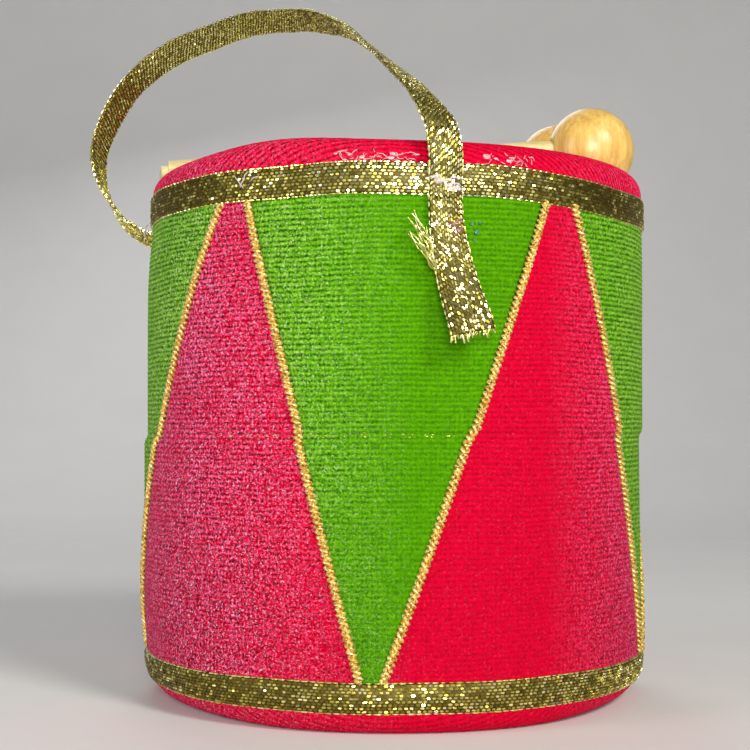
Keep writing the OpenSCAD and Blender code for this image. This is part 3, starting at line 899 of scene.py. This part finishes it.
# The hanger is one length: from the tail's cut end up over the trim, round the loop and down behind
turn = math.radians(ANCHOR_ANGLE)
spin = np.array([[math.cos(turn), -math.sin(turn), 0], [math.sin(turn), math.cos(turn), 0], [0, 0, 1]])
loop_rows = curve_through(FRONT_ROOT + LOOP_ROUTE[1:-1] + REAR_ROOT)
tail_rows = curve_through([(x, -y, z, 0) for x, y, z in TAIL_ROUTE])[::-1, :3]
tail_run = np.gradient(tail_rows, axis=0)
tail_across = np.stack([tail_run[:, 2], 0 * tail_run[:, 1], -tail_run[:, 0]], -1)
tail_share = smooth_step(np.linspace(1, 0, len(tail_rows)))
hanger_path = Path(
    np.concatenate([(tail_rows @ spin.T + np.array(FRONT_ROOT[0][:3]))[:-1], loop_rows[:, :3]]),
    np.concatenate([(unit(tail_across) @ spin.T)[:-1], rolled(loop_rows)]),
    np.concatenate([(RIBBON_W + (TAIL_END_W - RIBBON_W) * tail_share)[:-1], RIBBON_W + 0 * loop_rows[:, 0]]),
)


def distance_to(point):
    return float(hanger_path.s[np.argmin(np.linalg.norm(hanger_path.P - np.array(point[:3]), axis=1))])


def on_ribbon(s, share, height=RIBBON_T / 2):
    """A point on the hanging ribbon, and the direction out of its face there."""
    s, share = np.array(float(s)), np.array(float(share))
    point = hanger_path.at(s, share, np.array(height))
    return point, unit(hanger_path.at(s, share, np.array(1.0)) - hanger_path.at(s, share, np.array(0.0)))


tail_length = distance_to(FRONT_ROOT[0])
free_from, free_to = distance_to(LOOP_ROUTE[FREE_FROM]), distance_to(LOOP_ROUTE[FREE_TO])


def hanger_piece(name, start, end, body, replaces):
    return ribbon_piece(
        name, hanger_path, start, end, body, replaces, seed=501, rows=13, pitch=0.54 * MM, faces_up=(1, -1),
        lean=lambda s: np.interp(s, [0, tail_length, tail_length + 2 * MM], [-12, -10, 15]),
        loose=lambda s: np.interp(s, [0, tail_length, tail_length + 3 * MM], [0.7, 0.5, 0.2]),
        # Painted reflection along the hanger: bright on the tail and the front root, dim on the way up over
        # the loop, bright again on its left side
        shine=lambda s: np.interp(s, [0, free_from, free_from + 36 * MM, free_from + 62 * MM, free_to],
                                  [1.25, 1.2, 0.3, 1.6, 1.5]),
    )


tail = hanger_piece("hanger_tail_ribbon", 0, tail_length, None, ["hanger_tail"])
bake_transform(tail)

front_root = hanger_piece("hanger_front_root", tail_length, free_from, None, ["hanger_front_pad"])
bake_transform(front_root)

loop = hanger_piece("hanger_loop_ribbon", free_from, free_to, "hanger", ["hanger_loop"])

rear_root = hanger_piece("hanger_rear_root", free_to, hanger_path.length, None, ["hanger_rear_pad"])
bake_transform(rear_root)

# ---- Loose threads ----


def strand(route, radius, flat=1.0):
    """A thread through the points of a short route, thinner at its ends; flat is width over depth."""
    centres = curve_through([(*point, 0) for point in route], 5)[:, :3]
    run = unit(np.gradient(centres, axis=0))
    side = unit(np.cross(run, [0.3, 0.9, 0.31]))
    r = radius * (0.45 + 0.55 * np.sin(np.linspace(0.25, np.pi - 0.25, len(centres))))
    return sweep(centres, side, np.cross(run, side), r * flat, r, 5)


def wavering(start, end, bow, rng, steps=5):
    """Points from start to end, off the straight by a bow and a little at random."""
    t = np.linspace(0, 1, steps)[:, None]
    line = np.asarray(start) * (1 - t) + np.asarray(end) * t + 4 * t * (1 - t) * np.asarray(bow)
    size = np.linalg.norm(np.asarray(end) - np.asarray(start))
    return line + rng.normal(0, 0.05 * size, line.shape) * np.minimum(1, 4 * t * (1 - t))


def cluster(name, parts, body, material, glint=None, replaces=()):
    """Threads or dabs as one piece; glint is a number for each of them."""
    points, faces = join(parts)
    numbers = None
    if glint is not None:
        numbers = {"glint": np.concatenate([np.full(len(p), g) for (p, _), g in zip(parts, glint)])}
    return make(name, points, faces, body, material, numbers=numbers, replaces=replaces)


rng = np.random.default_rng(61)
RIGHT, OUT, UP = spin @ [1, 0, 0], spin @ [0, -1, 0], np.array([0, 0, 1])
frays = []
for i in range(26):
    root, _ = on_ribbon(tail_length - rng.uniform(5.2, 7.6) * MM, -0.97, 0.15 * MM)
    long = i < 14
    left = rng.uniform(1.5, 2.9) if long else rng.uniform(0.3, 1.3)
    high = rng.uniform(2.4, 4.2) if long else rng.uniform(0.8, 2.6)
    tip = root - RIGHT * left * MM + UP * high * MM + OUT * rng.uniform(0.3, 0.9) * MM
    frays.append(strand(wavering(root, tip, OUT * 0.2 * MM, rng), rng.uniform(0.03, 0.055) * MM, flat=2.0))
for i in range(34):
    share = rng.uniform(-0.98, 0.98)
    root, _ = on_ribbon(rng.uniform(0.1, 0.5) * MM, share, 0)
    tip = root - UP * rng.uniform(0.4, 1.1) * MM + RIGHT * rng.normal(0, 0.25) * MM
    frays.append(strand(wavering(root, tip, OUT * 0.05 * MM, rng, 4), rng.uniform(0.05, 0.08) * MM, flat=2.0))
cluster("frayed_gold_threads", frays, "tail", STITCH, rng.uniform(0.3, 1, len(frays)),
        ["frayed_threads"])

# Each white thread's angle and height, and how far round and up it runs, in mm
STRAYS = ((-79, 55.6, 1.6, -1.9), (-76, 55.5, -1.2, -1.4), (-82, 54.8, 1.0, 0.9),
          (-34.5, 58.2, 1.3, -1.5), (-31.0, 58.4, -0.9, -1.6), (-30.5, 57.4, 1.2, 0.4))
stray = []
for angle, z, span, rise in STRAYS:
    start = skin(angle, z * MM, 0.6 * MM)
    end = skin(angle + math.degrees(span * MM / DRUM_R), (z + rise) * MM, 0.7 * MM)
    outward = unit(start * [1, 1, 0])
    stray.append(strand(wavering(start, end, outward * 0.3 * MM, rng), 0.07 * MM))
cluster("stray_white_threads", stray, "drum", GLUE)

# ---- Dried glue ----


def dab(at, out, long, wide, high, seed):
    """A flattened uneven lump on a surface that faces out: long sideways and wide the other way."""
    out = unit(np.asarray(out, dtype=float))
    u = unit(np.cross(out, UP) if abs(out[2]) < 0.9 else np.array([1.0, 0, 0]))
    v = np.cross(out, u)
    rows, cols = 9, 20
    polar = np.linspace(0.05, np.pi - 0.05, rows)[:, None]
    turn = circle(cols)[None, :]
    lump = 1 + 0.22 * waves(seed, 2.6, np.cos(turn) + 0 * polar, np.sin(turn), np.cos(polar))
    flat = np.sin(polar) * lump
    points = (np.asarray(at) + u * (long * flat * np.cos(turn))[..., None]
              + v * (wide * flat * np.sin(turn))[..., None] + out * (high * np.cos(polar) * lump)[..., None])
    return points.reshape(-1, 3), tube_faces(rows, cols)


def rim_point(angle, bend, out):
    """A point on the top rim's rounding, bend degrees over from flat, and the direction out of it."""
    a, b = math.radians(angle), math.radians(bend)
    face = np.array([math.sin(a) * math.sin(b), -math.cos(a) * math.sin(b), math.cos(b)])
    flat_r = DRUM_R - EDGE_R
    centre = np.array([math.sin(a) * flat_r, -math.cos(a) * flat_r, DRUM_H - EDGE_R])
    return centre + face * (EDGE_R + out + rim_puff(angle) * math.cos(b)), face


# Two smears along the rim: the angles each lies between, and how many threads of glue it has
RIM_SMEARS = ((-12, 6, 34), (18, 30, 22))
smears = []
for low, high, count in RIM_SMEARS:
    for i in range(count):
        angle, bend = rng.uniform(low, high), rng.uniform(60, 86)
        at, face = rim_point(angle, bend, 0.02 * MM)
        if i % 5 == 0:
            long, wide = rng.uniform(0.15, 0.4) * MM, rng.uniform(0.10, 0.2) * MM
            smears.append(dab(at, face, long, wide, 0.06 * MM, 70 + i))
        end, _ = rim_point(angle + rng.uniform(-2.5, 2.5), min(88, bend + rng.uniform(-12, 20)), 0.04 * MM)
        bow = face * 0.06 * MM + UP * rng.uniform(-0.16, 0.16) * MM
        smears.append(strand(wavering(at, end, bow, rng), rng.uniform(0.03, 0.06) * MM))
cluster("rim_glue", smears, "drum", PINK_GLUE)

glob = []
for i in range(16):
    at, face = on_ribbon(tail_length + rng.uniform(0.9, 2.3) * MM, rng.uniform(-0.85, 0.85))
    long, wide = rng.uniform(0.25, 0.55) * MM, rng.uniform(0.15, 0.3) * MM
    glob.append(dab(at, face, long, wide, 0.11 * MM, 90 + i))
cluster("ribbon_glue", glob, "drum", GLUE)

# How far down the tail, what share of its half width across, and the size; lengths in mm
TAIL_SPOTS = ((2.9, 0.4, 0.7), (2.4, 0.7, 0.5), (3.5, 0.65, 0.5), (4.0, 0.4, 0.35))
spots = []
for i, (down, share, size) in enumerate(TAIL_SPOTS):
    at, face = on_ribbon(tail_length - down * MM, share)
    spots.append(dab(at, face, size * MM, 0.7 * size * MM, 0.14 * MM, 110 + i))
brown_spots = cluster("tail_glue_spots", spots, None, BROWNED_GLUE)
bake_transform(brown_spots)

# Angle, height and size
PANEL_SPOTS = ((15.6, 52.4, 0.24), (16.6, 51.6, 0.34), (17.2, 52.6, 0.2), (16.1, 50.7, 0.2))
spots = []
for i, (angle, z, size) in enumerate(PANEL_SPOTS):
    at = skin(angle, z * MM, 0.08 * MM)
    spots.append(dab(at, at * [1, 1, 0], size * MM, 0.8 * size * MM, 0.12 * MM, 120 + i))
cluster("panel_glue_spots", spots, "drum", GREEN_GLUE)

# Gold flecks caught along the crease between the halves
flecks = []
for i in range(70):
    angle = rng.uniform(-38, 16)
    at = skin(angle, MID_Z + rng.normal(0, 0.12) * MM, 0.05 * MM)
    flecks.append(dab(at, at * [1, 1, 0], rng.uniform(0.05, 0.16) * MM, 0.05 * MM, 0.03 * MM, 130 + i))
cluster("crease_flecks", flecks, "drum", STITCH, rng.uniform(0.2, 0.6, len(flecks)))

# ---- Drumsticks ----


def turned(start, way, profile, sides, seed):
    """A surface turned on a lathe about an axis: profile is rows of (distance along it, radius)."""
    rows = np.array(profile)
    way = unit(np.asarray(way))
    u = unit(np.cross(way, UP))
    v = np.cross(way, u)
    turn = circle(sides)[None, :]
    along, radius = rows[:, :1], rows[:, 1:]
    uneven = 0.02 * MM * waves(seed, 5 * MM, along, radius * np.cos(turn), radius * np.sin(turn))
    r = radius + uneven * np.minimum(1, radius / (1 * MM))
    points = (np.asarray(start) + way * along[..., None] + u * (r * np.cos(turn))[..., None]
              + v * (r * np.sin(turn))[..., None])
    return points.reshape(-1, 3), tube_faces(len(rows), sides)


GLUE_LIMIT = DRUM_R - EDGE_R - 0.7 * MM  # how far out the pad under a ball may lie
PARTED = 0.16  # half angle of the flat where a ball was parted off, in radians
pads = []
for k, (tail_x, tail_y) in enumerate(STICK_TAILS, 1):
    low, high = corners(f"stick_ball_{k}")
    ball_r = (high[2] - low[2]) / 2
    centre = np.array([high[0] - ball_r, (low[1] + high[1]) / 2, (low[2] + high[2]) / 2])
    end = np.array([tail_x, tail_y, low[2] + SHAFT_R])
    way, length = unit(end - centre), float(np.linalg.norm(end - centre))

    # The bead: a small flat where it was parted off, and a chamfered socket for the shaft
    polar = np.linspace(PARTED, math.pi - math.asin((SHAFT_R + 0.25 * MM) / ball_r), 64)
    lathe = 0.012 * MM * np.sin(polar * 60) * np.exp(-((polar / 0.5) ** 2))
    profile = [(-ball_r * math.cos(PARTED), 0.3 * MM)]
    profile += [(-(ball_r + l) * math.cos(t), (ball_r + l) * math.sin(t)) for t, l in zip(polar, lathe)]
    mouth = profile[-1][0]
    profile += [(mouth - 0.12 * MM, SHAFT_R + 0.04 * MM), (mouth - 1.5 * MM, SHAFT_R + 0.03 * MM)]
    points, faces = turned(centre, way, profile, 96, 140 + k)
    make(f"stick_bead_{k}", points, faces, "drum", LACQUERED, replaces=[f"stick_ball_{k}"])

    # The dowel, its end sawn off square with a worn edge
    stops = np.linspace(ball_r - 3.5 * MM, length - 0.2 * MM, 60)
    profile = [(d, SHAFT_R - 0.01 * MM + 0.02 * MM * math.sin(900 * d + k)) for d in stops]
    profile += [(length - 0.05 * MM, SHAFT_R - 0.06 * MM), (length, SHAFT_R - 0.18 * MM),
                (length - 0.02 * MM, 0.9 * MM), (length - 0.01 * MM, 0.4 * MM)]
    points, faces = turned(centre, way, profile, 40, 150 + k)
    make(f"stick_dowel_{k}", points, faces, "drum", PALE_WOOD, replaces=[f"stick_shaft_{k}"])

    share = min(1.0, GLUE_LIMIT / float(np.hypot(*centre[:2])))
    top = np.array([0, 0, DRUM_H + 0.15 * MM])
    pads.append(dab(centre * [share, share, 0] + top, UP, 2.4 * MM, 2.3 * MM, 0.45 * MM, 160 + k))
    pads.append(dab(np.array([tail_x + 4 * MM, tail_y, 0]) + top, UP, 1.7 * MM, 1.5 * MM, 0.5 * MM, 170 + k))
cluster("stick_glue_pads", pads, "drum", GLUE, replaces=["stick_glue"])

# ---- Floor and backdrop ----


def backdrop():
    """One sheet of pale paper: flat under the object and curved up behind it."""
    half, height = 1.6, 0.9
    bend_from, bend_r = 0.30, 0.25
    steps = np.linspace(0, math.pi / 2, 25)
    curve = [(bend_from + bend_r * math.sin(t), bend_r - bend_r * math.cos(t)) for t in steps]
    line = [(-half, 0.0), *curve, (bend_from + bend_r, height)]
    paper = Shader("pale_paper", Roughness=0.9)
    tone = paper.noise(0.02, 4.0)
    paper.set(Base_Color=paper.ramp(tone, (0.3, (0.78, 0.77, 0.75)), (0.7, (0.80, 0.79, 0.77))))
    points = [(x, y, z) for y, z in line for x in (-half, half)]
    faces = [(2 * i, 2 * i + 1, 2 * i + 3, 2 * i + 2) for i in range(len(line) - 1)]
    make("backdrop", points, faces, None, paper.material)


backdrop()
